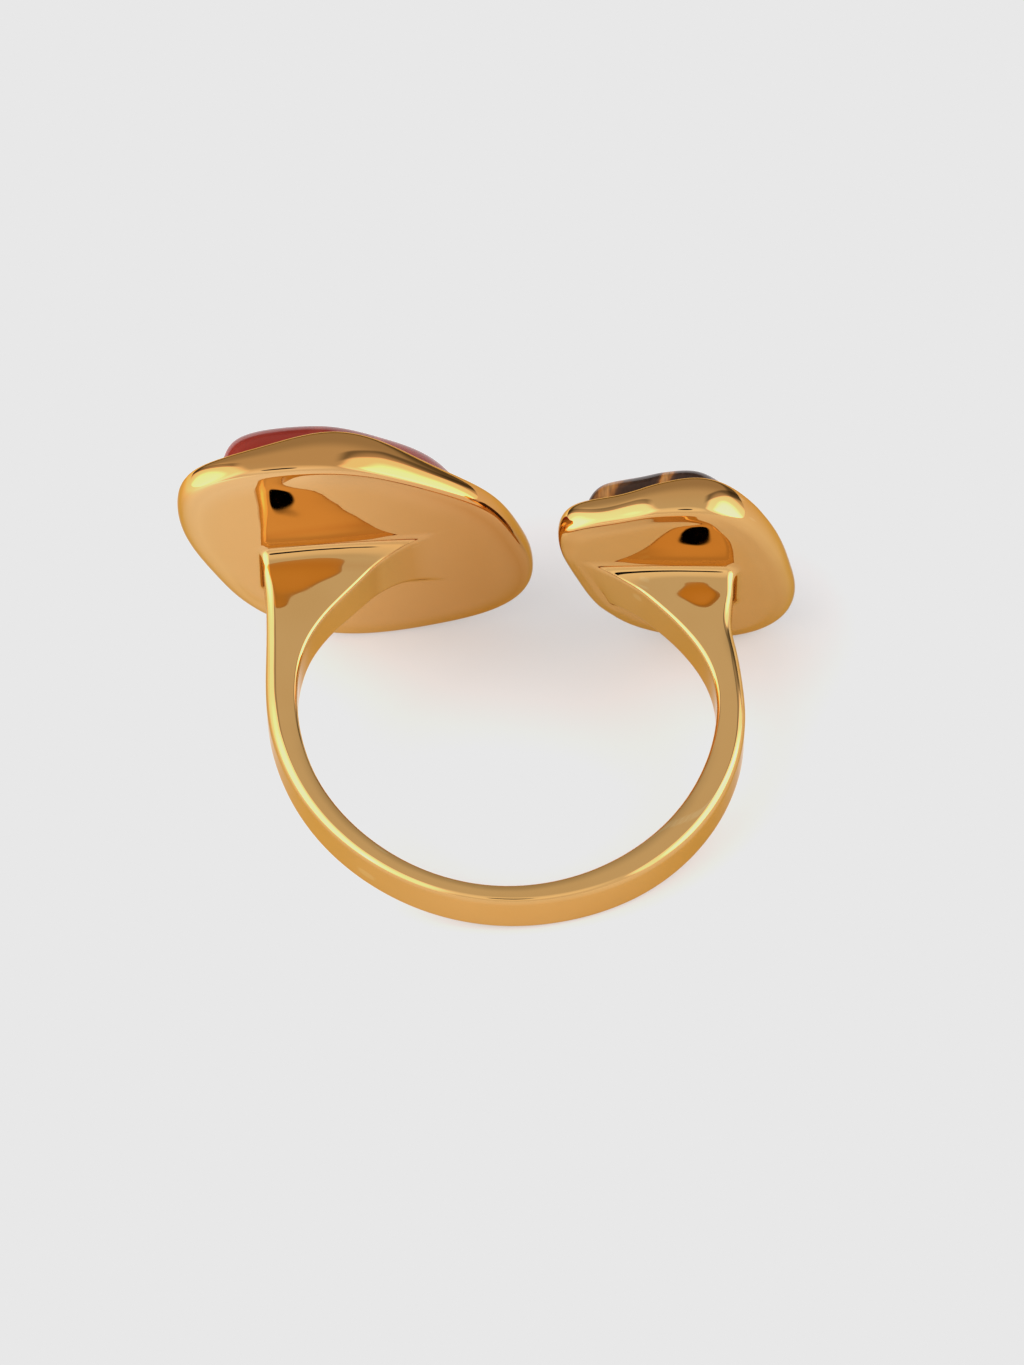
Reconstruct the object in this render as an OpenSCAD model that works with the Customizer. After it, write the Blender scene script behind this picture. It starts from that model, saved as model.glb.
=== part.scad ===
/* [Shank] */
// Radius of the finger opening at the back of the shank
finger_r = 8.65; // [7.8:0.05:10.2]
// Half of the shank's width, along the finger, at its back
back_half_w = 1.15; // [0.9:0.05:1.6]
// Half of the shank's width where it meets the settings
root_half_w = 1.25; // [1.2:0.05:1.6]
// Radius of the shank's inner edges
inner_edge_r = 0.18; // [0.1:0.01:0.25]

/* [Settings] */
// Distance of the large setting's flat back from the finger axis
large_back = 7.9; // [7.6:0.01:8.4]
// Turn of the large setting about the finger axis, in degrees
large_turn = 4.5; // [2:0.1:9]
// Distance of the small setting's flat back from the finger axis
small_back = 6.35; // [6:0.01:7]
// Turn of the small setting about the finger axis, in degrees
small_turn = 0; // [-4:0.1:2]
// Thickness of metal under each stone
floor_t = 0.5; // [0.4:0.05:0.6]
// Width of the large setting's polished rim, seen from the front
large_rim_w = 1.7; // [1.3:0.05:1.8]
// Width of the small setting's polished rim, seen from the front
small_rim_w = 1; // [0.8:0.05:1.2]
// Drop of the rim from its crest to the stone
rim_drop = 0.3; // [0.2:0.05:0.4]

/* [Stones] */
// Clearance between each stone and its seat
stone_gap = 0.05; // [0.03:0.01:0.1]
// Height of the large stone's dome above its girdle
large_dome = 3.3; // [2:0.1:4]
// Height of the small stone's dome above its girdle
small_dome = 2.4; // [1.5:0.1:3.2]

/* [Hidden] */

// Each loop round the metal has four corners and four sides of these many points
corner_points = 7;
side_points = 5;
quarter_points = corner_points + side_points;
loop_points = 4 * quarter_points;
// Sections drawn between two rows of the shank table
sections_per_row = 4;
// Steps of the rounded back edge and of a stone's dome
edge_steps = 5;
dome_steps = 8;

// Large setting, seen from its back about the middle of the shank's root:
// direction, reach of the outline, depth of the rim, radius of the back edge
LARGE_OUTLINE = [
    [0, 7.49, 1.30, 0.40],
    [22, 6.94, 1.27, 0.40],
    [40, 6.63, 1.28, 0.41],
    [58, 6.51, 1.55, 0.41],
    [75, 6.83, 1.98, 0.41],
    [88, 7.26, 2.14, 0.42],
    [101, 7.69, 1.95, 0.42],
    [113, 8.17, 1.57, 0.44],
    [126, 8.75, 1.31, 0.53],
    [137, 8.82, 1.27, 0.61],
    [148, 8.14, 1.24, 0.69],
    [161, 7.13, 1.20, 0.70],
    [177, 6.16, 1.17, 0.70],
    [193, 5.66, 1.16, 0.70],
    [210, 5.57, 1.19, 0.70],
    [227, 5.74, 1.23, 0.70],
    [246, 6.09, 1.28, 0.62],
    [265, 6.51, 1.31, 0.53],
    [290, 6.95, 1.33, 0.44],
    [304, 7.42, 1.33, 0.43],
    [316, 8.04, 1.32, 0.43],
    [328, 8.48, 1.31, 0.42],
    [343, 8.27, 1.30, 0.41],
];
// Small setting, likewise: direction, reach of the outline, depth of the rim, radius of the back edge
SMALL_OUTLINE = [
    [0, 3.80, 1.18, 0.40],
    [22, 4.69, 1.27, 0.40],
    [35, 5.50, 1.36, 0.41],
    [45, 5.81, 1.43, 0.41],
    [57, 5.63, 1.45, 0.41],
    [72, 5.45, 1.49, 0.41],
    [81, 5.55, 1.62, 0.41],
    [91, 5.67, 1.79, 0.42],
    [101, 5.82, 1.91, 0.42],
    [112, 5.85, 1.91, 0.43],
    [124, 5.64, 1.78, 0.52],
    [136, 5.40, 1.61, 0.60],
    [150, 5.18, 1.42, 0.70],
    [167, 5.10, 1.23, 0.70],
    [182, 5.26, 1.13, 0.70],
    [197, 5.71, 1.09, 0.70],
    [212, 6.12, 1.11, 0.70],
    [228, 6.14, 1.15, 0.70],
    [250, 5.48, 1.20, 0.60],
    [270, 4.77, 1.22, 0.50],
    [290, 4.24, 1.22, 0.44],
    [315, 3.75, 1.18, 0.43],
    [338, 3.58, 1.16, 0.41],
];
OUTLINE_DIRECTION = 0;
OUTLINE_REACH = 1;
OUTLINE_DEPTH = 2;
OUTLINE_EDGE = 3;

// Where the shank's root lies along each flat back, from the foot of the line that is square
// to it and goes through the finger axis: middle, half length, slant of the thin end, and how
// the shank's inner side leaves the back there: slope, curve
LARGE_ROOT = [-6.1, 3.5, -0.12, 0.13, 0.147];
SMALL_ROOT = [-6.68, 2.8, 0.4, 0.5, 0.083];
ROOT_MIDDLE = 0;
ROOT_HALF = 1;
ROOT_SLANT = 2;
ROOT_SLOPE = 3;
ROOT_CURVE = 4;

// How each root spreads onto the flat back, section by section: distance from the back,
// growth along the finger, growth at the outer end
ROOT_SWEEP = [
    [0, 0.63, 0.20],
    [0.03, 0.47, 0.14],
    [0.09, 0.36, 0.10],
    [0.19, 0.27, 0.06],
    [0.32, 0.20, 0.04],
    [0.52, 0.13, 0.02],
    [0.80, 0.05, 0.01],
    [1.15, 0, 0],
];
SWEEP_DISTANCE = 0;
SWEEP_UP = 1;
SWEEP_OUT = 2;

// Sections of the shank from the large setting round the back to the small setting:
// direction of the inner edge and how far it is out from the finger's radius, the same of the
// outer edge, share of the way from the back's width to the root's, radius of the outer edges
SHANK = [
    [140, -0.30, 152.5, 2.65, 0.8, 0.40],
    [150, -0.12, 158.5, 2.07, 0.5, 0.45],
    [161, 0.07, 166, 1.63, 0.2, 0.48],
    [175, 0.03, 177, 1.33, 0, 0.46],
    [190, -0.05, 190, 1.15, 0, 0.40],
    [208, -0.09, 208, 0.93, 0, 0.30],
    [228, -0.13, 228, 0.76, 0, 0.20],
    [248, -0.07, 248, 0.73, 0, 0.14],
    [268, 0.00, 268, 0.80, 0, 0.12],
    [288, 0.01, 288, 0.93, 0, 0.14],
    [306, 0.02, 306, 1.15, 0, 0.22],
    [324, 0.05, 324, 1.30, 0, 0.30],
    [342, 0.07, 342, 1.35, 0, 0.36],
    [357, 0.09, 357, 1.28, 0, 0.38],
    [367, 0.01, 367, 1.22, 0.2, 0.38],
    [377, -0.25, 375, 1.29, 0.5, 0.36],
    [389, -0.65, 382, 1.47, 0.8, 0.34],
];
SHANK_IN_DIRECTION = 0;
SHANK_IN_BEYOND = 1;
SHANK_OUT_DIRECTION = 2;
SHANK_OUT_BEYOND = 3;
SHANK_WIDENING = 4;
SHANK_EDGE = 5;

// Top of each stone from the middle of its girdle, and its fullness: along the root, up the
// finger, fullness in plan, fullness in height, share of the rim's wave that the girdle has.
// A fullness of 1 is half an ellipse, and less is fuller.
LARGE_TOP = [-0.8, 0.1, 0.35, 1, 0];
SMALL_TOP = [0.15, 0.8, 0.4, 1, 0.3];
TOP_ALONG = 0;
TOP_UP = 1;
TOP_PLAN = 2;
TOP_HEIGHT = 3;
TOP_WAVE = 4;

// Radius of the root's corners at its thin end and at its outer end
root_tip_r = 0.5;
root_outer_r = 0.3;

// A smooth curve through four even values, at t from 0 to 1 between the middle two
function smooth(a, b, c, d, t) =
    let (m = (c - a) / 2, n = (d - b) / 2)
    (2 * b - 2 * c + m + n) * pow(t, 3) + (3 * c - 3 * b - 2 * m - n) * pow(t, 2) + m * t + b;

// A value of an outline table at any direction, smooth all the way round
function outline_value(table, direction, column) =
    let (
        count = len(table),
        turn = direction - 360 * floor(direction / 360),
        i = max([for (k = [0:count - 1]) if (table[k][OUTLINE_DIRECTION] <= turn) k]),
        at = function (k) table[(k + count) % count][OUTLINE_DIRECTION] + 360 * floor(k / count),
        value = function (k) table[(k + count) % count][column],
        span = at(i + 1) - at(i),
        t = (turn - at(i)) / span,
        m = (value(i + 1) - value(i - 1)) / (at(i + 1) - at(i - 1)) * span,
        n = (value(i + 2) - value(i)) / (at(i + 2) - at(i)) * span,
        b = value(i),
        c = value(i + 1)
    )
    (2 * b - 2 * c + m + n) * pow(t, 3) + (3 * c - 3 * b - 2 * m - n) * pow(t, 2) + m * t + b;

// A point of the outline, moved in square to it by inset
function outline_point(table, direction, inset = 0) =
    let (
        raw = function (d) outline_value(table, d, OUTLINE_REACH) * [cos(d), sin(d)],
        along = raw(direction + 1) - raw(direction - 1),
        inward = [-along.y, along.x] / norm(along)
    )
    raw(direction) + inset * inward;

// A setting is [distance of its back, its turn, side of its thin end, root, outline, rim width]
LARGE = [large_back, large_turn, 1, LARGE_ROOT, LARGE_OUTLINE, large_rim_w];
SMALL = [small_back, small_turn, -1, SMALL_ROOT, SMALL_OUTLINE, small_rim_w];
SETTING_BACK = 0;
SETTING_TURN = 1;
SETTING_SIDE = 2;
SETTING_ROOT = 3;
SETTING_OUTLINE = 4;
SETTING_RIM = 5;

// From a setting's own places to the ring's: along its root, up the finger, out to the front
function place(setting, along, up, front) =
    let (
        turn = setting[SETTING_TURN],
        reach = setting[SETTING_BACK] + front,
        slide = setting[SETTING_SIDE] * (setting[SETTING_ROOT][ROOT_MIDDLE] + along)
    )
    [slide * cos(turn) - reach * sin(turn), slide * sin(turn) + reach * cos(turn), up];

// A loop that follows a setting's outline, inset by what inset(radius of the back edge) gives and
// in front of the back by what front(depth of the rim, radius of the back edge) gives
function outline_loop(setting, inset, front) = [
    for (i = [0:loop_points - 1])
        let (
            direction = 360 * i / loop_points,
            table = setting[SETTING_OUTLINE],
            edge = outline_value(table, direction, OUTLINE_EDGE),
            depth = outline_value(table, direction, OUTLINE_DEPTH),
            p = outline_point(table, direction, inset(edge))
        )
        place(setting, p.x, p.y, front(depth, edge))
];
// A loop at one inset, in front of the back by what front(depth of the rim) gives
function rim_loop(setting, inset, front) =
    outline_loop(setting, function (edge) inset, function (depth, edge) front(depth));
// A loop of the rounded back edge, turned by an angle from the rim's outer wall
function edge_loop(setting, angle) =
    outline_loop(
        setting,
        function (edge) edge * (1 - cos(angle)),
        function (depth, edge) edge * (1 - sin(angle))
    );

// The rim and the plate of a setting, from the seat of its stone round to its flat back
function setting_loops(setting) =
    let (w = setting[SETTING_RIM])
    [
        rim_loop(setting, w, function (d) floor_t),
        rim_loop(setting, w, function (d) d - rim_drop),
        rim_loop(setting, 0.8 * w, function (d) d - 0.55 * rim_drop),
        rim_loop(setting, 0.55 * w, function (d) d - 0.15 * rim_drop),
        rim_loop(setting, 0.3 * w, function (d) d),
        rim_loop(setting, 0.15 * w, function (d) d - 0.2 * rim_drop),
        rim_loop(setting, 0.04 * w, function (d) d - 0.55 * rim_drop),
        rim_loop(setting, 0, function (d) d - rim_drop),
        for (k = [0:edge_steps]) edge_loop(setting, 90 * k / edge_steps),
    ];

// A point of a rounded oblong, numbered from the middle of its inner side, over its top:
// it reaches from 0 to length along x and half_w each way in y
function oblong_point(i, length, half_w, inner_r, outer_r, slant = 0) =
    let (
        k = (i + (side_points + 1) / 2) % loop_points,
        quarter = floor(k / quarter_points),
        j = k % quarter_points,
        radius = [inner_r, outer_r, outer_r, inner_r],
        centre = [
            [length - inner_r, half_w - inner_r],
            [outer_r, half_w - outer_r],
            [outer_r, outer_r - half_w],
            [length - inner_r, inner_r - half_w],
        ],
        r = radius[quarter],
        before = (quarter + 3) % 4,
        arc = function (q, a) centre[q] + radius[q] * [cos(a), sin(a)],
        start = arc(before, 90 * quarter),
        end = arc(quarter, 90 * quarter),
        p = j < side_points
            ? start + (end - start) * (j + 1) / (side_points + 1)
            : arc(quarter, 90 * quarter + 90 * (j - side_points) / (corner_points - 1))
    )
    [p.x + slant * p.y * p.x / length, p.y];

// How far in from its thin end the shank's inner side is at a distance from the flat back
function flare(root, off) =
    (sqrt(pow(root[ROOT_SLOPE], 2) + 4 * root[ROOT_CURVE] * off) - root[ROOT_SLOPE])
        / (2 * root[ROOT_CURVE]);

// One section of a root, parallel to the flat back, from a row of the sweep
function root_loop(setting, sweep) =
    let (
        root = setting[SETTING_ROOT],
        off = sweep[SWEEP_DISTANCE],
        out = sweep[SWEEP_OUT],
        length = 2 * root[ROOT_HALF] - flare(root, off) + out,
        share = sweep[SWEEP_UP] / ROOT_SWEEP[0][SWEEP_UP],
        tip_r = inner_edge_r + (root_tip_r - inner_edge_r) * share
    )
    [
        for (i = [0:loop_points - 1])
            let (
                p = oblong_point(
                    i, length, root_half_w + sweep[SWEEP_UP], tip_r, root_outer_r + out,
                    root[ROOT_SLANT] * share
                )
            )
            place(setting, p.x - root[ROOT_HALF] - out, p.y, -off)
    ];

// The last section of a root, as a row of plain places:
// inner x, inner y, outer x, outer y, half width, outer edge radius
function root_row(setting) =
    let (
        root = setting[SETTING_ROOT],
        off = ROOT_SWEEP[len(ROOT_SWEEP) - 1][SWEEP_DISTANCE],
        inner = place(setting, root[ROOT_HALF] - flare(root, off), 0, -off),
        outer = place(setting, -root[ROOT_HALF], 0, -off)
    )
    [inner.x, inner.y, outer.x, outer.y, root_half_w, root_outer_r];

function shank_row(row) =
    let (
        inner_r = finger_r + row[SHANK_IN_BEYOND],
        outer_r = finger_r + row[SHANK_OUT_BEYOND]
    )
    [
        inner_r * cos(row[SHANK_IN_DIRECTION]),
        inner_r * sin(row[SHANK_IN_DIRECTION]),
        outer_r * cos(row[SHANK_OUT_DIRECTION]),
        outer_r * sin(row[SHANK_OUT_DIRECTION]),
        back_half_w + (root_half_w - back_half_w) * row[SHANK_WIDENING],
        row[SHANK_EDGE],
    ];

rows = [root_row(LARGE), for (row = SHANK) shank_row(row), root_row(SMALL)];
last_row = len(rows) - 1;

// One loop of the shank, at any place between two rows
function shank_loop(place_in_rows) =
    let (
        i = min(floor(place_in_rows), last_row - 1),
        t = place_in_rows - i,
        row = [
            for (c = [0:len(rows[0]) - 1])
                smooth(rows[max(i - 1, 0)][c], rows[i][c], rows[i + 1][c],
                    rows[min(i + 2, last_row)][c], t)
        ],
        inner = [row[0], row[1]],
        outer = [row[2], row[3]],
        length = norm(inner - outer),
        across = (inner - outer) / length
    )
    [
        for (i = [0:loop_points - 1])
            let (p = oblong_point(i, length, row[4], inner_edge_r, row[5]))
            [outer.x + across.x * p.x, outer.y + across.y * p.x, p.y]
    ];

shank_steps = last_row * sections_per_row;
metal_loops = [
    each setting_loops(LARGE),
    for (sweep = ROOT_SWEEP) root_loop(LARGE, sweep),
    for (k = [1:shank_steps - 1]) shank_loop(k / sections_per_row),
    for (k = [len(ROOT_SWEEP) - 1:-1:0]) root_loop(SMALL, ROOT_SWEEP[k]),
    for (loops = [setting_loops(SMALL)], k = [len(loops) - 1:-1:0]) loops[k],
];

function sum_of(list, i = 0) = i < len(list) ? list[i] + sum_of(list, i + 1) : 0;
function middle_of(loop) = [for (c = [0, 1, 2]) sum_of([for (p = loop) p[c]]) / len(loop)];

// A cabochon: a flat base, a straight girdle and a full dome. The girdle has a share of the
// rim's wave, which fades out towards the top of the dome.
function stone_loops(setting, dome, top) =
    let (
        inset = setting[SETTING_RIM] + stone_gap,
        front = place(setting, 0, 0, 1) - place(setting, 0, 0, 0),
        shift = place(setting, top[TOP_ALONG], top[TOP_UP], 0) - place(setting, 0, 0, 0),
        foot = rim_loop(setting, inset, function (d) floor_t + stone_gap),
        girdle = rim_loop(setting, inset, function (d) d - rim_drop),
        middle = middle_of(girdle)
    )
    [
        foot,
        for (k = [0:dome_steps])
            let (
                a = 90 * (1 - pow(1 - k / dome_steps, 1.8)),
                share = k < dome_steps ? pow(cos(a), top[TOP_PLAN]) : 0,
                rise = dome * pow(sin(a), top[TOP_HEIGHT])
            )
            [
                for (p = girdle)
                    let (wave = (p - middle) * front, flat = p - middle - front * wave)
                    middle + flat * share + shift * (1 - share)
                        + front * (wave * top[TOP_WAVE] * pow(share, 2) + rise)
            ],
    ];

LARGE_STONE = stone_loops(LARGE, large_dome, LARGE_TOP);
SMALL_STONE = stone_loops(SMALL, small_dome, SMALL_TOP);

// The ring rests on the lowest edge of each setting and on the back of its shank.
// The floor's upward direction is found from the lowest point of each in turn.
metal_points = [for (loop = metal_loops) each loop];
foot_groups = [
    [for (p = metal_points) if (p.y > 5 && p.x < 2) p],
    [for (p = metal_points) if (p.y > 5 && p.x > 2) p],
    [for (p = metal_points) if (p.y < 0) p],
];
function lowest(points, up) =
    let (heights = [for (p = points) p * up], low = min(heights))
    [for (i = [0:len(points) - 1]) if (heights[i] == low) points[i]][0];
function floor_up(up, rounds) =
    rounds == 0
        ? up
        : let (
              a = lowest(foot_groups[0], up),
              b = lowest(foot_groups[1], up),
              c = lowest(foot_groups[2], up),
              n = cross(b - a, c - a),
              unit = n / norm(n)
          )
          floor_up(unit.z > 0 ? unit : -unit, rounds - 1);
up = floor_up([0, 0, 1], 6);

// Turns the ring by the least turn that makes that direction upright
lean_axis = cross(up, [0, 0, 1]);
lean_sine = norm(lean_axis);
lean_unit = lean_axis / lean_sine;
function upright(p) =
    p * up.z + cross(lean_unit, p) * lean_sine + lean_unit * (lean_unit * p) * (1 - up.z);

all_points = [
    for (p = metal_points) upright(p),
    for (loop = concat(LARGE_STONE, SMALL_STONE), p = loop) upright(p),
];
low = [for (c = [0, 1, 2]) min([for (p = all_points) p[c]])];
high = [for (c = [0, 1, 2]) max([for (p = all_points) p[c]])];
shift = [-(low.x + high.x) / 2, -(low.y + high.y) / 2, -low.z];
function rest(p) = upright(p) + shift;

// A closed skin through loops. It is ended by a flat face, or where pointed by the one point
// that its last loop has shrunk to. Reversed turns its faces for loops that run the other way.
module skin(loops, pointed = false, reversed = false) {
    rings = pointed ? len(loops) - 1 : len(loops);
    last = (rings - 1) * loop_points;
    tip = rings * loop_points;
    sides = [
        for (k = [0:rings - 2], i = [0:loop_points - 1])
            let (
                a = k * loop_points + i,
                b = k * loop_points + (i + 1) % loop_points,
                c = b + loop_points,
                d = a + loop_points
            )
            each [[a, d, c], [a, c, b]],
    ];
    base = [[for (i = [0:loop_points - 1]) i]];
    cap = pointed
        ? [for (i = [0:loop_points - 1]) [last + i, tip, last + (i + 1) % loop_points]]
        : [[for (i = [loop_points - 1:-1:0]) last + i]];
    faces = concat(base, sides, cap);
    polyhedron(
        points = [
            for (k = [0:rings - 1], p = loops[k]) rest(p),
            if (pointed) rest(loops[rings][0]),
        ],
        faces = reversed
            ? [for (f = faces) [for (i = [len(f) - 1:-1:0]) f[i]]]
            : faces,
        convexity = 10
    );
}

module shank_and_settings() {
    color("goldenrod") skin(metal_loops);
}

module large_stone() {
    color("firebrick") skin(LARGE_STONE, pointed = true, reversed = true);
}

module small_stone() {
    color("saddlebrown") skin(SMALL_STONE, pointed = true);
}

shank_and_settings();
large_stone();
small_stone();
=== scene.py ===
import math

import bmesh
import bpy
import numpy as np
from mathutils import Matrix, Vector


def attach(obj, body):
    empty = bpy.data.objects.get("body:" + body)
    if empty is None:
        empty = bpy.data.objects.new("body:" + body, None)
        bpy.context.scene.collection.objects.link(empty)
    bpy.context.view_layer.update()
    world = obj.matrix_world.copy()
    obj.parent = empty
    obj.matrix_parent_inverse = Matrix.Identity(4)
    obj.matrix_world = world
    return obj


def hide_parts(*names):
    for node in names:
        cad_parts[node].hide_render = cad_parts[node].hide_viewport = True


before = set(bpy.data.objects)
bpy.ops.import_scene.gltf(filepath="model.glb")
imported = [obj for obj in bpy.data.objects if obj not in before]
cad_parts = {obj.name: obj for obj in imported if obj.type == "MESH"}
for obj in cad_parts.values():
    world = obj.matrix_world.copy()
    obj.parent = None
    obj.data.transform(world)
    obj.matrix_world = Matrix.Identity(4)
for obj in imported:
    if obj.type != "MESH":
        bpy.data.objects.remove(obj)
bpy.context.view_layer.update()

# The shank and both settings: one casting in brass, polished to a mirror and plated with yellow
# gold. The open shank spreads at each end into a root on the flat back of a setting, and each
# setting is a wavy dish that a stone is cemented into.
MM = 0.001

# Each loop of points round the metal has four corners and four sides
corner_points = 7
side_points = 5
quarter_points = corner_points + side_points
loop_points = 4 * quarter_points

# Sizes in mm: the finger opening's radius, the metal under a stone, how far a stone's girdle lies
# below the rim, the radius of the rim's lip
finger_r = 8.65
floor_t = 0.5
rim_drop = 0.3
lip_r = 0.42

# A setting's profile: how far the seat's floor goes in under the stone, the seat's small bevels,
# the top of the rim as shares of the rim's width and drop, the wall's lean at both its ends, where
# the arcs of the lip and of the back edge end, in degrees, and their numbers of loops
seat_reach = 0.6
seat_bevel = 0.1
rim_profile = [(0.97, 0.9), (0.80, 0.55), (0.58, 0.12)]
wall_bow = 12
lip_end = 80
lip_loops = 5
back_edge_end = 78
back_edge_loops = 6

# A flat back stands out a little, and its soft border rises to the back edge. The profile gives
# shares of the border's width and of its lift. Near a root the border keeps to a share of the metal
# between root and edge, and it is lower where it is narrower than for a full lift.
back_swell = 0.10
border_lift = 0.13
border_width = 1.15
border_profile = [(0.157, 0.72), (0.435, 0.26), (0.739, 0.05), (1.0, 0.0)]
border_share = 0.75
full_lift_width = 0.45

# Radii of a root's thin tip and outer edges, and how far its foot goes on over the flat back
root_tip_r = 0.22
root_outer_r = 0.32
foot_spreads = (0.14, 0.06)

# Outlines of the settings, seen from their backs, in degrees and mm: direction, reach, depth and
# radius of the back edge
large_outline = [
    (0, 7.49, 1.30, 0.40),
    (22, 6.94, 1.27, 0.40),
    (40, 6.63, 1.28, 0.41),
    (58, 6.51, 1.55, 0.41),
    (75, 6.83, 1.98, 0.41),
    (88, 7.26, 2.14, 0.42),
    (101, 7.69, 1.95, 0.42),
    (113, 8.17, 1.57, 0.44),
    (126, 8.75, 1.31, 0.53),
    (137, 8.82, 1.27, 0.61),
    (148, 8.14, 1.24, 0.69),
    (161, 7.13, 1.20, 0.70),
    (177, 6.16, 1.17, 0.70),
    (193, 5.66, 1.16, 0.70),
    (210, 5.57, 1.19, 0.70),
    (227, 5.74, 1.23, 0.70),
    (246, 6.09, 1.28, 0.62),
    (265, 6.51, 1.31, 0.53),
    (290, 6.95, 1.33, 0.44),
    (304, 7.42, 1.33, 0.43),
    (316, 8.04, 1.32, 0.43),
    (328, 8.48, 1.31, 0.42),
    (343, 8.27, 1.30, 0.41),
]
small_outline = [
    (0, 3.80, 1.18, 0.40),
    (22, 4.69, 1.27, 0.40),
    (35, 5.50, 1.36, 0.41),
    (45, 5.81, 1.43, 0.41),
    (57, 5.63, 1.45, 0.41),
    (72, 5.45, 1.49, 0.41),
    (81, 5.55, 1.62, 0.41),
    (91, 5.67, 1.79, 0.42),
    (101, 5.82, 1.91, 0.42),
    (112, 5.85, 1.91, 0.43),
    (124, 5.64, 1.78, 0.52),
    (136, 5.40, 1.61, 0.60),
    (150, 5.18, 1.42, 0.70),
    (167, 5.10, 1.23, 0.70),
    (182, 5.26, 1.13, 0.70),
    (197, 5.71, 1.09, 0.70),
    (212, 6.12, 1.11, 0.70),
    (228, 6.14, 1.15, 0.70),
    (250, 5.48, 1.20, 0.60),
    (270, 4.77, 1.22, 0.50),
    (290, 4.24, 1.22, 0.44),
    (315, 3.75, 1.18, 0.43),
    (338, 3.58, 1.16, 0.41),
]

# How each root spreads onto the flat back: distance from it, growth along the finger, growth
# outwards and growth of the thin tip inwards
root_sweep = [
    (0.0, 0.62, 0.20, 0.55),
    (0.03, 0.46, 0.14, 0.42),
    (0.09, 0.34, 0.10, 0.26),
    (0.19, 0.24, 0.06, 0.14),
    (0.32, 0.17, 0.04, 0.06),
    (0.52, 0.10, 0.02, 0.02),
    (0.80, 0.05, 0.01, 0.0),
    (1.15, 0.0, 0.0, 0.0),
]

# Sections of the shank, in degrees and mm: direction of the inner edge and how far it is out from
# the finger's radius, the same of the outer edge, half width, radii of the outer and the inner
# edges, doming of the top and the foot
shank_sections = [
    (140, -0.30, 152.5, 2.65, 1.25, 0.40, 0.22, 0.09),
    (150, -0.12, 158.5, 2.07, 1.165, 0.46, 0.22, 0.08),
    (161, 0.07, 166, 1.63, 1.13, 0.52, 0.20, 0.08),
    (175, 0.03, 177, 1.33, 1.13, 0.54, 0.18, 0.08),
    (190, -0.05, 190, 1.15, 1.14, 0.48, 0.16, 0.08),
    (208, -0.09, 208, 0.93, 1.15, 0.34, 0.14, 0.08),
    (228, -0.13, 228, 0.76, 1.15, 0.27, 0.12, 0.06),
    (248, -0.07, 248, 0.73, 1.15, 0.25, 0.11, 0.05),
    (268, 0.00, 268, 0.80, 1.15, 0.25, 0.11, 0.05),
    (288, 0.01, 288, 0.93, 1.15, 0.26, 0.12, 0.05),
    (306, 0.02, 306, 1.15, 1.15, 0.30, 0.13, 0.06),
    (324, 0.05, 324, 1.30, 1.15, 0.34, 0.15, 0.08),
    (342, 0.07, 342, 1.35, 1.15, 0.35, 0.17, 0.08),
    (357, 0.09, 357, 1.28, 1.15, 0.38, 0.18, 0.08),
    (367, 0.01, 367, 1.22, 1.15, 0.43, 0.20, 0.07),
    (377, -0.25, 375, 1.29, 1.15, 0.47, 0.22, 0.08),
    (389, -0.65, 382, 1.47, 1.16, 0.44, 0.22, 0.08),
]

# A setting: distance of its back from the finger's axis, its turn in degrees, the side of its thin
# end, its outline and its rim's width. Its root: middle, half length, half width, doming, slant, and
# the slope and curve of its inner side. The last three are shares of the usual growth of the root's
# thin tip and of its outer end, and of the usual width of the back's border.
large = {
    "back": 7.9, "turn": 4.5, "side": 1, "outline": large_outline, "rim": 1.7,
    "middle": -6.1, "half": 3.5, "half_w": 1.34, "crown": 0.10,
    "slant": -0.12, "slope": 0.13, "curve": 0.147,
    "tip": 1, "out": 1, "border": 1,
}
small = {
    "back": 6.35, "turn": 0.0, "side": -1, "outline": small_outline, "rim": 1.0,
    "middle": -6.68, "half": 2.8, "half_w": 1.22, "crown": 0.10,
    "slant": 0.4, "slope": 0.5, "curve": 0.083,
    "tip": 0.2, "out": 2.2, "border": 0.55,
}

# How the ring lies: the floor's upward direction in the ring's own frame, and its slide in mm after
# the ring is turned to make that direction upright
up = Vector((-0.0818652, 0.271357, 0.958991)).normalized()
slide = Vector((0.577751, -1.30481, 3.78358))
lean = up.rotation_difference(Vector((0, 0, 1)))


def lying(p):
    """A point of the ring's own frame, in mm, where it is on the ring that lies on the floor."""
    return (lean @ Vector(p) + slide) * MM


def curve_through(at, values, wanted, around=None):
    """Values of a smooth cubic curve through given ones. It is closed where around is a full turn."""
    at, values = np.array(at, float), np.array(values, float)
    count = len(at)
    if around:
        at = np.append(at, at[0] + around)
        values = np.append(values, values[0])
        wanted = (np.array(wanted, float) - at[0]) % around + at[0]
    gap = np.diff(at)
    slope = np.diff(values) / gap
    lhs, rhs = np.zeros((count, count)), np.zeros(count)
    for i in range(count):
        if not around and i in (0, count - 1):
            lhs[i, i] = 1
            continue
        before, after = gap[i - 1], gap[i]
        lhs[i, i - 1] += before
        lhs[i, i] += 2 * (before + after)
        lhs[i, (i + 1) % count] += after
        rhs[i] = 6 * (slope[i] - slope[i - 1])
    bend = np.linalg.solve(lhs, rhs)
    if around:
        bend = np.append(bend, bend[0])
    wanted = np.array(wanted, float)
    i = np.clip(np.searchsorted(at, wanted, side="right") - 1, 0, len(gap) - 1)
    a, b = (at[i + 1] - wanted) / gap[i], (wanted - at[i]) / gap[i]
    return (a * values[i] + b * values[i + 1]
            + ((a**3 - a) * bend[i] + (b**3 - b) * bend[i + 1]) * gap[i] ** 2 / 6)


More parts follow.
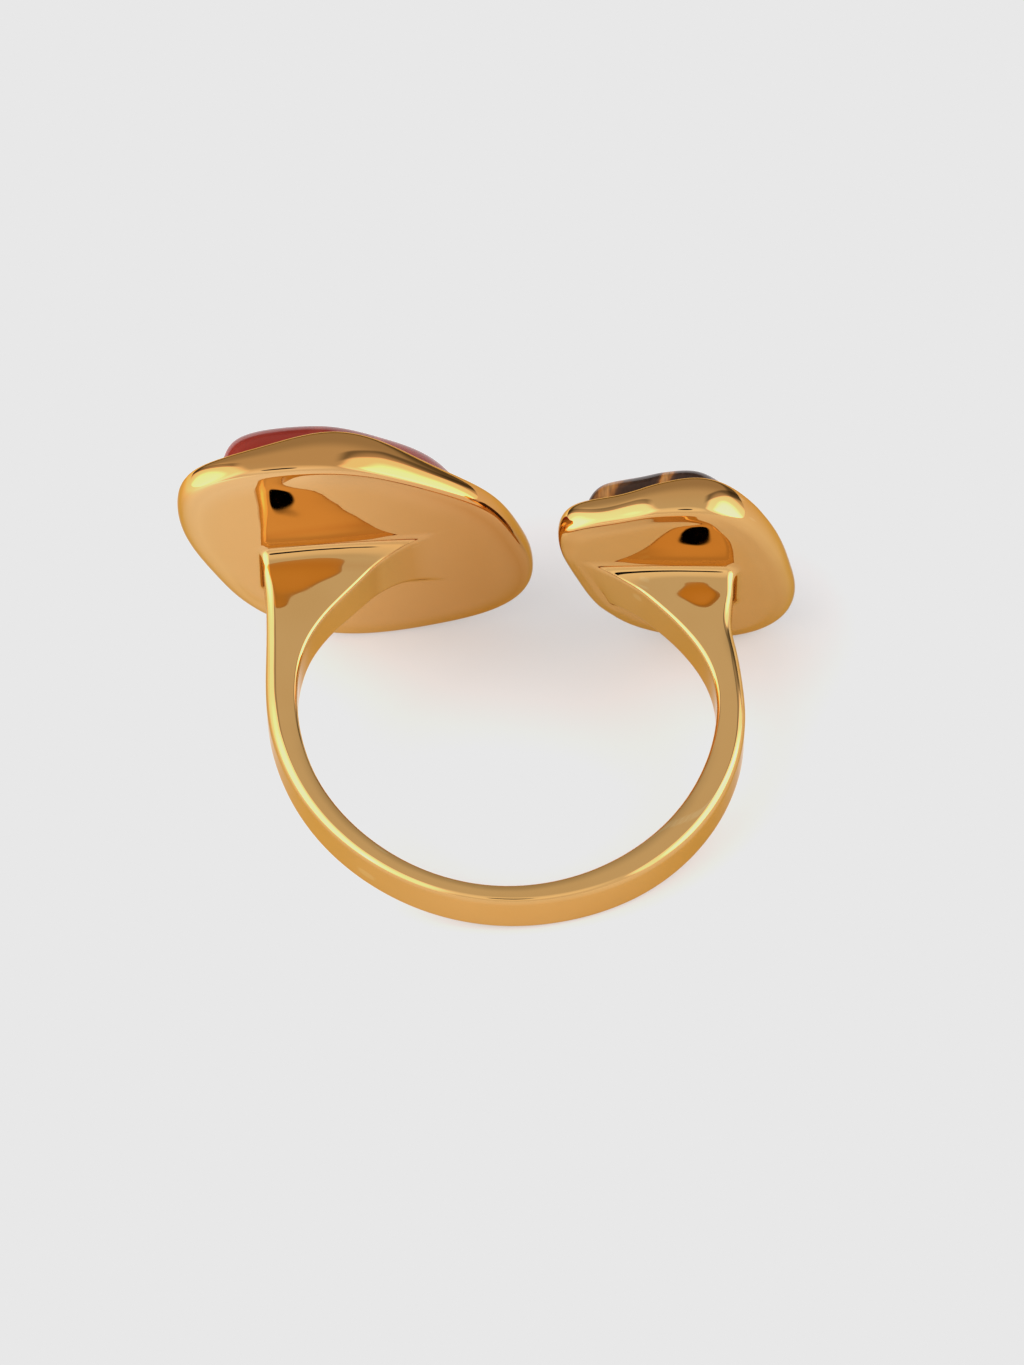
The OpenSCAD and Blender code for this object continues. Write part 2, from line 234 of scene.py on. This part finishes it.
def outline_columns(setting):
    """The outline's points, its inward normals, its depths and its back edge's radii, all round."""
    table = np.array(setting["outline"], float)
    directions = np.arange(loop_points) * 360 / loop_points
    # The normals come from a finer outline, with a point at every half degree
    fine = np.arange(720) / 2
    reach = curve_through(table[:, 0], table[:, 1], fine, 360)
    ring = np.stack([reach * np.cos(np.radians(fine)), reach * np.sin(np.radians(fine))], 1)
    along = np.roll(ring, -1, 0) - np.roll(ring, 1, 0)
    inward = np.stack([-along[:, 1], along[:, 0]], 1) / np.linalg.norm(along, axis=1)[:, None]
    pick = np.round(directions * 2).astype(int)
    depth = curve_through(table[:, 0], table[:, 2], directions, 360)
    edge = curve_through(table[:, 0], table[:, 3], directions, 360)
    return ring[pick], inward[pick], depth, edge


def placed(setting, along, height, front):
    """From a setting's own places to the ring's: along its root, up the finger, to the front."""
    turn = math.radians(setting["turn"])
    reach = setting["back"] + front
    across = setting["side"] * (setting["middle"] + along)
    return Vector((
        across * math.cos(turn) - reach * math.sin(turn),
        across * math.sin(turn) + reach * math.cos(turn),
        height,
    ))


def drawn_round(points):
    """Moves the points of a loop out, so that its subdivided curve goes through where they were."""
    count = len(points)
    lhs = np.zeros((count, count))
    for i in range(count):
        lhs[i, i] = 4 / 6
        lhs[i, (i + 1) % count] = lhs[i, i - 1] = 1 / 6
    return [Vector(p) for p in np.linalg.solve(lhs, np.array(points, float))]


def outline_loop(setting, inset, front):
    """A loop along a setting's outline: its inset and its distance in front of the back."""
    ring, inward = outline_columns(setting)[:2]
    inset = inset * np.ones(loop_points)
    front = front * np.ones(loop_points)
    flat = ring + inward * inset[:, None]
    return drawn_round([placed(setting, x, y, z) for (x, y), z in zip(flat, front)])


def setting_loops(setting):
    """A setting from the seat of its stone over the rim and round the back edge to its flat back."""
    width = setting["rim"]
    ring, _, depth, edge = outline_columns(setting)
    foot = root_outline(setting, *root_sweep[0], foot_spreads[0])
    apart = np.array([min(math.dist(p, q) for q in foot) for p in ring])
    border = np.minimum(border_width * setting["border"], border_share * (apart - edge))
    lift = border_lift * np.minimum(1, border / full_lift_width)
    # The seat and the top of the rim
    loops = [
        outline_loop(setting, width + seat_reach, floor_t),
        outline_loop(setting, width + seat_bevel, floor_t),
        outline_loop(setting, width, floor_t + seat_bevel),
        outline_loop(setting, width, depth - rim_drop - seat_bevel),
    ]
    for across, down in rim_profile:
        loops.append(outline_loop(setting, across * width, depth - down * rim_drop))
    # The lip, the gently rounded wall and the back edge
    wall_end = math.radians(wall_bow)
    lip = np.minimum(lip_r, (depth - edge) * 0.5)
    wall_top = depth - lip * (1 - math.sin(wall_end))
    wall_foot = lift - back_swell + edge * (1 - math.sin(wall_end))
    bow = (wall_top - wall_foot) * math.tan(wall_end) / 4
    for k in range(lip_loops):
        angle = wall_end + (math.radians(lip_end) - wall_end) * (1 - k / (lip_loops - 1))
        inset = bow + lip * (math.cos(wall_end) - math.cos(angle))
        loops.append(outline_loop(setting, inset, depth - lip * (1 - math.sin(angle))))
    for share in (0.75, 0.5, 0.25):
        front = wall_foot + (wall_top - wall_foot) * share
        loops.append(outline_loop(setting, bow * (2 * share - 1) ** 2, front))
    for k in range(back_edge_loops):
        angle = wall_end + (math.radians(back_edge_end) - wall_end) * k / (back_edge_loops - 1)
        inset = bow + edge * (math.cos(wall_end) - math.cos(angle))
        front = lift - back_swell + edge * (1 - math.sin(angle))
        loops.append(outline_loop(setting, inset, front))
    # The soft border of the flat back
    for across, share in border_profile:
        loops.append(outline_loop(setting, edge + border * across, lift * share - back_swell))
    return loops


def oblong(length, half_w, inner_r, outer_r, slant=0.0, crown=0.0):
    """A rounded oblong, 0 to length along x and half_w each way in y, from its inner side's middle.

    Crown is how far the middle of its top and of its foot is domed beyond their ends."""
    radius = [inner_r, outer_r, outer_r, inner_r]
    centre = [
        (length - inner_r, half_w - inner_r),
        (outer_r, half_w - outer_r),
        (outer_r, outer_r - half_w),
        (length - inner_r, inner_r - half_w),
    ]

    def arc(q, degrees):
        a = math.radians(degrees)
        return Vector(centre[q]) + radius[q] * Vector((math.cos(a), math.sin(a)))

    points = []
    for i in range(loop_points):
        k = (i + (side_points + 1) // 2) % loop_points
        quarter, j = divmod(k, quarter_points)
        if j < side_points:
            start, end = arc((quarter + 3) % 4, 90 * quarter), arc(quarter, 90 * quarter)
            p = start + (end - start) * (j + 1) / (side_points + 1)
        else:
            p = arc(quarter, 90 * quarter + 90 * (j - side_points) / (corner_points - 1))
        share = max(0.0, min(1.0, p.x / length))
        dome = crown * (4 * share * (1 - share) - 0.5) * p.y / half_w
        points.append((p.x + slant * p.y * p.x / length, p.y + dome))
    return points


def flare(setting, off):
    """How far in from its thin end a root's inner side is, at a distance from the flat back."""
    slope, curve = setting["slope"], setting["curve"]
    return (math.sqrt(slope**2 + 4 * curve * off) - slope) / (2 * curve)


def root_outline(setting, off, growth, out, tip, beyond=0.0):
    """A section of a root in its setting's own places. Beyond spreads it over the flat back."""
    out *= setting["out"]
    length = 2 * setting["half"] - flare(setting, off) + out + setting["tip"] * tip + 2 * beyond
    share = growth / root_sweep[0][1]
    points = oblong(length, setting["half_w"] + growth + beyond, root_tip_r + beyond,
                    root_outer_r + out + beyond, setting["slant"] * share,
                    setting["crown"] * (1 - share))
    return [(x - setting["half"] - out - beyond, y) for x, y in points]


def root_loop(setting, off, growth, out, tip, beyond=0.0):
    """The same section where it is on the ring, parallel to the flat back."""
    swell = back_swell * (1 - off / root_sweep[-1][0])
    return [placed(setting, x, y, -off - swell)
            for x, y in root_outline(setting, off, growth, out, tip, beyond)]


def root_loops(setting):
    """A root from its foot on the flat back to where the shank begins."""
    foot = [root_loop(setting, *root_sweep[0], beyond) for beyond in foot_spreads]
    return foot + [root_loop(setting, *row) for row in root_sweep]


def root_row(setting):
    """A root's last section: inner x, y, outer x, y, half width, outer and inner radii, doming."""
    off = root_sweep[-1][0]
    inner = placed(setting, setting["half"] - flare(setting, off), 0, -off)
    outer = placed(setting, -setting["half"], 0, -off)
    return [inner.x, inner.y, outer.x, outer.y,
            setting["half_w"], root_outer_r, root_tip_r, setting["crown"]]


def shank_row(section):
    """A row of the shank's table, with the same columns as a root's last section."""
    inner_at, inner_out, outer_at, outer_out, half_w, outer_r, inner_r, crown = section
    inner_at, outer_at = math.radians(inner_at), math.radians(outer_at)
    inner, outer = finger_r + inner_out, finger_r + outer_out
    return [inner * math.cos(inner_at), inner * math.sin(inner_at),
            outer * math.cos(outer_at), outer * math.sin(outer_at),
            half_w, outer_r, inner_r, crown]


def shank_loops():
    """The shank's sections from the large setting's root to the small one's, three to a row."""
    rows = np.array([root_row(large)] + [shank_row(s) for s in shank_sections] + [root_row(small)])
    middles = (rows[:, :2] + rows[:, 2:4]) / 2
    along = np.append(0, np.cumsum(np.linalg.norm(np.diff(middles, axis=0), axis=1)))
    at = np.interp(np.arange(1, 3 * (len(rows) - 1)) / 3, np.arange(len(rows)), along)
    columns = [curve_through(along, column, at).tolist() for column in rows.T]
    loops = []
    for ix, iy, ox, oy, half_w, outer_r, inner_r, crown in zip(*columns):
        inner, outer = Vector((ix, iy)), Vector((ox, oy))
        across = (inner - outer).normalized()
        points = oblong((inner - outer).length, half_w, inner_r, outer_r, crown=crown)
        loops.append([Vector((*(outer + across * x), height)) for x, height in points])
    return loops


def drawn_skin(name, loops):
    """A closed skin: a circle is extruded and laid along each loop, and both ends are filled."""
    bpy.ops.object.select_all(action="DESELECT")
    bpy.ops.mesh.primitive_circle_add(vertices=len(loops[0]), radius=MM, fill_type="NOTHING")
    piece = bpy.context.object
    piece.name = piece.data.name = name
    for vertex, p in zip(piece.data.vertices, loops[0]):
        vertex.co = lying(p)
    bpy.ops.object.mode_set(mode="EDIT")
    bpy.ops.mesh.select_mode(type="EDGE")
    bpy.ops.mesh.select_all(action="SELECT")
    mesh = bmesh.from_edit_mesh(piece.data)
    # Which point of its loop each vertex of the newest loop is
    order = {v: i for i, v in enumerate(mesh.verts)}
    for loop in loops[1:]:
        bpy.ops.mesh.extrude_edges_move(TRANSFORM_OT_translate={"value": (0, 0, 0)})
        mesh = bmesh.from_edit_mesh(piece.data)
        fresh = {}
        for v in mesh.verts:
            if v.select:
                for e in v.link_edges:
                    before = e.other_vert(v)
                    if before in order and not before.select:
                        fresh[v] = order[before]
        for v, i in fresh.items():
            v.co = lying(loop[i])
        order = fresh
    bmesh.update_edit_mesh(piece.data)
    bpy.ops.mesh.edge_face_add()
    bpy.ops.mesh.select_all(action="DESELECT")
    bpy.ops.mesh.select_non_manifold(extend=False)
    bpy.ops.mesh.edge_face_add()
    bpy.ops.mesh.select_all(action="SELECT")
    bpy.ops.mesh.normals_make_consistent(inside=False)
    bpy.ops.object.mode_set(mode="OBJECT")
    return piece


def rounded_off(piece, levels):
    """Subdivides a piece to its smooth surface and shades it smooth."""
    bpy.ops.object.select_all(action="DESELECT")
    piece.select_set(True)
    bpy.context.view_layer.objects.active = piece
    finer = piece.modifiers.new("smooth surface", "SUBSURF")
    finer.levels = finer.render_levels = levels
    bpy.ops.object.modifier_apply(modifier=finer.name)
    bpy.ops.object.shade_smooth()


metal_loops = setting_loops(large) + root_loops(large) + shank_loops()
metal_loops += root_loops(small)[::-1] + setting_loops(small)[::-1]
ring_metal = drawn_skin("ring_metal", metal_loops)
rounded_off(ring_metal, 2)


def set_inputs(tree, node, inputs):
    """Sets a node's inputs. Each is a value or another node's output."""
    for name, value in inputs.items():
        if isinstance(value, bpy.types.NodeSocket):
            tree.links.new(value, node.inputs[name])
        else:
            node.inputs[name].default_value = value


def add_node(tree, kind, inputs, **settings):
    """A new node with its settings and its inputs."""
    made = tree.nodes.new(kind)
    for name, value in settings.items():
        setattr(made, name, value)
    set_inputs(tree, made, inputs)
    return made


def maths(tree, operation, *values):
    """The result of a maths node. Each value is a number or another node's output."""
    node = add_node(tree, "ShaderNodeMath", dict(enumerate(values)), operation=operation)
    return node.outputs[0]


def mapped(tree, value, low, high, to_low=0.0, to_high=1.0, kind="LINEAR"):
    """Maps a value between low and high onto another range. It stops at that range's ends."""
    node = add_node(tree, "ShaderNodeMapRange", {
        "Value": value, "From Min": low, "From Max": high, "To Min": to_low, "To Max": to_high,
    }, interpolation_type=kind)
    return node.outputs["Result"]


def blend(tree, share, first, second):
    """A colour between two others. Each is a plain colour or another node's output."""
    first, second = [
        tone if isinstance(tone, bpy.types.NodeSocket) else (*tone, 1) for tone in (first, second)
    ]
    mix = add_node(tree, "ShaderNodeMix", {0: share, 6: first, 7: second}, data_type="RGBA")
    return mix.outputs[2]


def blotches(tree, place, size, low, high, detail=2.0):
    """Soft patches of a size in mm, from 0 where the noise is low to 1 where it is high."""
    noise = add_node(tree, "ShaderNodeTexNoise", {
        "Vector": place, "Scale": 1 / (size * MM), "Detail": detail})
    return mapped(tree, noise.outputs["Fac"], low, high)


def bumps(tree, height, strength, distance):
    """Low bumps, up to a distance in mm."""
    node = add_node(tree, "ShaderNodeBump", {
        "Height": height, "Strength": strength, "Distance": distance * MM})
    return node.outputs["Normal"]


def new_material(name):
    """A material, its node tree, its shader and the places of the piece's own frame."""
    material = bpy.data.materials.new(name)
    material.use_nodes = True
    tree = material.node_tree
    place = tree.nodes.new("ShaderNodeTexCoord").outputs["Object"]
    return material, tree, tree.nodes["Principled BSDF"], place


def off_back(tree, place, setting):
    """How far in front of the plane of a setting's flat back a place is."""
    on_back = lying(placed(setting, 0, 0, 0))
    facing = (lying(placed(setting, 0, 0, 1)) - on_back).normalized()
    along = add_node(tree, "ShaderNodeVectorMath", {0: place, 1: facing}, operation="DOT_PRODUCT")
    return maths(tree, "SUBTRACT", along.outputs["Value"], on_back.dot(facing))


def near_back(tree, place, setting, reach):
    """1 on a setting's flat back and 0 further from it than the reach, in mm."""
    return mapped(tree, maths(tree, "ABSOLUTE", off_back(tree, place, setting)), reach * MM, 0.0)


# The plate's tone differs slightly from patch to patch
plate_tone = (0.71, 0.415, 0.150)
plate_shade = (0.69, 0.395, 0.138)
gold, gold_tree, gold_shader, gold_place = new_material("gold_plate")
gold_tone = blend(gold_tree, blotches(gold_tree, gold_place, 3.5, 0.35, 0.65),
                  plate_tone, plate_shade)
# It is darker and redder on the walls of both settings, a painted shade
painted_wall_shade_tone = (0.63, 0.31, 0.095)
for setting in (large, small):
    on_wall = mapped(gold_tree, off_back(gold_tree, gold_place, setting), 0.3 * MM, 1.4 * MM)
    gold_tone = blend(gold_tree, on_wall, gold_tone, painted_wall_shade_tone)
# A painted reflection on the flat backs: painted shade on the small one, and on the large one painted
# light that gives way to painted shade towards the middle of the ring
painted_shade_tone = (0.60, 0.285, 0.088)
painted_light_tone = (0.82, 0.52, 0.235)
back_reach = 0.3
small_back = near_back(gold_tree, gold_place, small, back_reach)
gold_tone = blend(gold_tree, maths(gold_tree, "MULTIPLY", small_back, 0.3), gold_tone, painted_shade_tone)
large_back = near_back(gold_tree, gold_place, large, back_reach)
gold_tone = blend(gold_tree, maths(gold_tree, "MULTIPLY", large_back, 0.9), gold_tone, painted_light_tone)
# The painted shade on the large back grows towards the middle of the ring
across_ring = add_node(gold_tree, "ShaderNodeSeparateXYZ", {0: gold_place}).outputs["X"]
to_middle = mapped(gold_tree, across_ring, -7.5 * MM, -0.5 * MM)
painted_shade_share = maths(gold_tree, "MULTIPLY", large_back, to_middle)
gold_tone = blend(gold_tree, painted_shade_share, gold_tone, painted_shade_tone)
# The sharp edges are paler, partly rubbed by handling and partly a painted highlight, but not those
# close to the flat backs
rubbed_and_highlight_tone = (0.78, 0.54, 0.25)
pointed = gold_tree.nodes.new("ShaderNodeNewGeometry").outputs["Pointiness"]
rubbed_and_highlight_share = mapped(gold_tree, pointed, 0.56, 0.68, 0.0, 0.5)
for setting in (large, small):
    away = maths(gold_tree, "SUBTRACT", 1.0, near_back(gold_tree, gold_place, setting, 0.9))
    rubbed_and_highlight_share = maths(gold_tree, "MULTIPLY", rubbed_and_highlight_share, away)
gold_polish = mapped(gold_tree, blotches(gold_tree, gold_place, 0.5, 0.4, 0.75, 4.0),
                     0.0, 1.0, 0.02, 0.055)
gold_ripple = bumps(gold_tree, blotches(gold_tree, gold_place, 2.2, 0.2, 0.8, 1.0), 0.5, 0.03)
set_inputs(gold_tree, gold_shader, {
    "Base Color": blend(gold_tree, rubbed_and_highlight_share, gold_tone, rubbed_and_highlight_tone),
    "Metallic": 1.0,
    "Specular Tint": (0.80, 0.62, 0.36, 1),
    "Roughness": gold_polish,
    "Normal": gold_ripple,
})
ring_metal.data.materials.append(gold)
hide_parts("shank_and_settings")
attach(ring_metal, "root")

# The red agate: a cabochon that is cut to the large setting's wavy opening, polished all over and
# cemented in. Only its dome shows above the rim.
stone_gap = 0.05
dome_loops = 10


def stone_loops(setting, dome, along, height, plan, wave_share):
    """A stone from its foot in the seat over its girdle to the top of its dome, in mm.

    The top's middle is moved along the root and up by height. The lower plan is, the boxier is the
    dome, and wave_share is how much of the girdle's wave goes on over it."""
    inset = setting["rim"] + stone_gap
    depth = outline_columns(setting)[2]
    front = placed(setting, 0, 0, 1) - placed(setting, 0, 0, 0)
    shift = placed(setting, along, height, 0) - placed(setting, 0, 0, 0)
    girdle = outline_loop(setting, inset, depth - rim_drop)
    middle = sum(girdle, Vector()) / loop_points
    loops = [outline_loop(setting, inset, floor_t + stone_gap)]
    for k in range(dome_loops):
        # The loops lie closer together towards the top
        a = math.radians(90 * (1 - (1 - k / dome_loops) ** 1.8))
        share = math.cos(a) ** plan
        rise = dome * math.sin(a)
        loop = []
        for p in girdle:
            wave = (p - middle).dot(front)
            flat = p - middle - front * wave
            loop.append(middle + flat * share + shift * (1 - share)
                        + front * (wave * wave_share * share**2 + rise))
        loops.append(loop)
    return loops


red_stone = drawn_skin("red_agate_stone", stone_loops(
    large, dome=3.3, along=-0.8, height=0.1, plan=0.35, wave_share=0.0))
rounded_off(red_stone, 2)
agate_dark = (0.17, 0.010, 0.005)
agate_light = (0.26, 0.026, 0.013)
vein_tone = (0.40, 0.085, 0.045)
agate, agate_tree, agate_shader, agate_place = new_material("red_agate")
agate_tone = blend(agate_tree, blotches(agate_tree, agate_place, 4.0, 0.3, 0.7, 3.0),
                   agate_dark, agate_light)
# Its paler veins show only here and there
veins = add_node(agate_tree, "ShaderNodeTexWave", {
    "Vector": agate_place, "Scale": 110.0, "Distortion": 11.0, "Detail": 4.0, "Detail Scale": 1.2})
vein_share = maths(agate_tree, "MULTIPLY",
                   mapped(agate_tree, veins.outputs["Fac"], 0.90, 1.0, 0.0, 0.6),
                   blotches(agate_tree, agate_place, 3.0, 0.45, 0.7))
agate_polish = mapped(agate_tree, blotches(agate_tree, agate_place, 1.2, 0.35, 0.7, 3.0),
                      0.0, 1.0, 0.10, 0.18)
agate_dimples = bumps(agate_tree, blotches(agate_tree, agate_place, 2.5, 0.2, 0.8), 0.3, 0.02)
set_inputs(agate_tree, agate_shader, {
    "Base Color": blend(agate_tree, vein_share, agate_tone, vein_tone),
    "Roughness": agate_polish,
    "Specular IOR Level": 0.15,
    "Normal": agate_dimples,
})
red_stone.data.materials.append(agate)
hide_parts("large_stone")
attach(red_stone, "root")

# The tiger's eye: a smaller cabochon of brown stone, with bands of golden fibres. It is cut and
# polished in the same way and cemented into the small setting.
eye_stone = drawn_skin("tigers_eye_stone", stone_loops(
    small, dome=2.4, along=0.15, height=0.8, plan=0.4, wave_share=0.3))
rounded_off(eye_stone, 2)
eye, eye_tree, eye_shader, eye_place = new_material("tigers_eye")
bands = add_node(eye_tree, "ShaderNodeTexWave", {
    "Vector": eye_place, "Scale": 150.0, "Distortion": 5.0, "Detail": 4.0, "Detail Scale": 1.4,
}, bands_direction="X")
band_tones = add_node(eye_tree, "ShaderNodeValToRGB", {"Fac": bands.outputs["Fac"]})
ramp = band_tones.color_ramp.elements
ramp[0].color = (0.025, 0.011, 0.005, 1)
ramp[1].color = (0.50, 0.24, 0.07, 1)
for place_on_ramp, tone in (
    (0.50, (0.035, 0.016, 0.008, 1)),
    (0.74, (0.10, 0.040, 0.013, 1)),
    (0.88, (0.40, 0.15, 0.03, 1)),
):
    ramp.new(place_on_ramp).color = tone
# Dark fibres run along the bands
fibre_tone = (0.045, 0.020, 0.010)
drawn_out = add_node(eye_tree, "ShaderNodeMapping", {"Vector": eye_place, "Scale": (6.0, 0.6, 0.6)})
fibres = blotches(eye_tree, drawn_out.outputs["Vector"], 0.9, 0.3, 0.7, 4.0)
fibre_share = maths(eye_tree, "MULTIPLY", fibres, 0.7)
set_inputs(eye_tree, eye_shader, {
    "Base Color": blend(eye_tree, fibre_share, band_tones.outputs["Color"], fibre_tone),
    "Roughness": mapped(eye_tree, fibres, 0.0, 1.0, 0.08, 0.15),
    "Specular IOR Level": 0.13,
    "Normal": bumps(eye_tree, fibres, 0.2, 0.01),
})
eye_stone.data.materials.append(eye)
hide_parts("small_stone")
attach(eye_stone, "root")

# The floor: a large sheet of white paper that the ring lies on. It glows, with painted light that is
# brighter to the left of the ring and a painted shadow near the small stone.
bpy.ops.object.select_all(action="DESELECT")
bpy.ops.mesh.primitive_plane_add(size=6)
floor = bpy.context.object
floor.name = "floor"
paper, paper_tree, paper_shader, paper_place = new_material("pale_paper")
across_paper = add_node(paper_tree, "ShaderNodeSeparateXYZ", {0: paper_place}).outputs["X"]
painted_paper_light = mapped(paper_tree, across_paper, -0.012, -0.07, 0.37, 1.0, "SMOOTHSTEP")
from_settings = add_node(paper_tree, "ShaderNodeVectorMath", {
    0: paper_place, 1: (0.006, 0.009, 0)}, operation="DISTANCE").outputs["Value"]
# A painted shadow: the paper glows less near the small stone
painted_paper_shadow = mapped(paper_tree, from_settings, 0.014, 0.003, 1.0, 0.75, "SMOOTHSTEP")
set_inputs(paper_tree, paper_shader, {
    "Base Color": (0.5, 0.5, 0.5, 1),
    "Roughness": 0.9,
    "Specular IOR Level": 0.1,
    "Emission Color": (1, 1, 1, 1),
    "Emission Strength": maths(paper_tree, "MULTIPLY", painted_paper_light, painted_paper_shadow),
})
floor.data.materials.append(paper)

# The camera, where the photograph was taken from: square to the ring's width, 60.5 degrees
# above the plane of the ring.
view_height = math.radians(60.5)
distance = 400
sensor_width = 36
pixels_per_mm = 24.16
picture_height = 1365
towards_camera = lean @ Vector((0, -math.cos(view_height), math.sin(view_height)))
picture_up = lean @ Vector((0, math.sin(view_height), math.cos(view_height)))
picture_right = lean @ Vector((1, 0, 0))
# The picture's middle is a little right of and above the finger's axis, at the top of the shank
aim = lying((0, 0, 1.15)) + (picture_right * 0.248 + picture_up * 0.766) * MM
camera_data = bpy.data.cameras.new("camera")
camera = bpy.data.objects.new("camera", camera_data)
bpy.context.scene.collection.objects.link(camera)
camera_data.sensor_width = sensor_width
camera_data.lens = pixels_per_mm * distance * sensor_width / picture_height
camera_data.clip_start = 0.01
camera.location = aim + towards_camera * (distance * MM)
camera_axes = Matrix((picture_right, picture_up, towards_camera)).transposed()
camera.rotation_euler = camera_axes.to_euler()
bpy.context.scene.camera = camera

# Plain soft studio light: a pale room that is brighter to the left and right of the ring, and
# dark in the one direction of the lens.
world = bpy.data.worlds.new("studio")
bpy.context.scene.world = world
world.use_nodes = True
studio = world.node_tree
room = studio.nodes.new("ShaderNodeTexCoord").outputs["Generated"]


def ring_direction(across, away, axis):
    """A direction of the room, from the ring's own frame."""
    return lean @ Vector((across, away, axis)).normalized()


def towards(direction):
    """How closely a direction of the room agrees with this one, from -1 to 1."""
    node = add_node(studio, "ShaderNodeVectorMath", {0: room, 1: direction}, operation="DOT_PRODUCT")
    return node.outputs["Value"]


def step(value, low, high):
    """0 at low, 1 at high and smooth in between."""
    return mapped(studio, value, low, high, kind="SMOOTHSTEP")


# A lamp to the left and one to the right, both with brighter cores, a glow round the lens, the near
# side of the room, and its darker far side with a low wall that is darker still
to_left = towards(ring_direction(-0.925, -0.163, 0.34))
to_right = towards(ring_direction(0.906, -0.03, 0.42))
to_back = towards(ring_direction(0, 1, 0))
to_lens = towards(towards_camera)
upward = towards(Vector((0, 0, 1)))
left_light = step(to_left, 0.57, 0.74)
left_core = step(to_left, 0.80, 0.93)
right_light = step(to_right, 0.75, 0.82)
right_core = step(to_right, 0.88, 0.95)
glow = step(to_lens, 0.85, 0.97)
front = step(to_back, -0.2, -0.7)
far_side = step(to_back, 0.5, 0.75)
far_wall = maths(studio, "MULTIPLY", step(to_back, 0.52, 0.68), step(upward, 0.35, 0.2))
# The upright edges of the room's far side are darker, to the left and to the right
seam_turn = math.radians(130)
seams = 0.0
for side in (-1, 1):
    beside = towards(ring_direction(side * -math.cos(seam_turn), -math.sin(seam_turn), 0))
    on_seam = step(maths(studio, "ABSOLUTE", beside), 0.10, 0.05)
    on_side = step(towards(ring_direction(side, 0, 0)), 0.35, 0.5)
    seams = maths(studio, "ADD", seams, maths(studio, "MULTIPLY", on_seam, on_side))
# The lens is a small dark round, seen in the metal
lens_slope = math.radians(56.5)
to_round = towards(ring_direction(0, -math.cos(lens_slope), math.sin(lens_slope)))
lens = step(to_round, math.cos(math.radians(7.5)), math.cos(math.radians(6)))
level = 0.735
for part, strength in (
    (left_light, 1.1), (left_core, 1.3), (right_light, 1.0), (right_core, 1.8),
    (glow, 0.27), (front, 0.18), (far_side, -0.24), (far_wall, -0.34),
):
    level = maths(studio, "ADD", level, maths(studio, "MULTIPLY", part, strength))
for shadow, strength in ((seams, 0.65), (lens, 1.0)):
    left_over = maths(studio, "SUBTRACT", 1.0, maths(studio, "MULTIPLY", shadow, strength))
    level = maths(studio, "MULTIPLY", level, left_over)
lamps = maths(studio, "MAXIMUM", left_light, right_light)
set_inputs(studio, studio.nodes["Background"], {
    "Color": blend(studio, lamps, (1.0, 1.0, 1.0), (1.0, 0.94, 0.94)),
    "Strength": level,
})

# The photograph's whites stop short of full white, and so does this picture
picture = bpy.context.scene.view_settings
picture.view_transform = "Standard"
picture.use_curve_mapping = True
brightest = 0.807
tones = picture.curve_mapping.curves[3]
tones.points[0].location = (0, 0)
tones.points[1].location = (1, brightest)
tones.points.new(brightest, brightest)
for point in tones.points:
    point.handle_type = "VECTOR"
picture.curve_mapping.extend = "HORIZONTAL"
picture.curve_mapping.update()
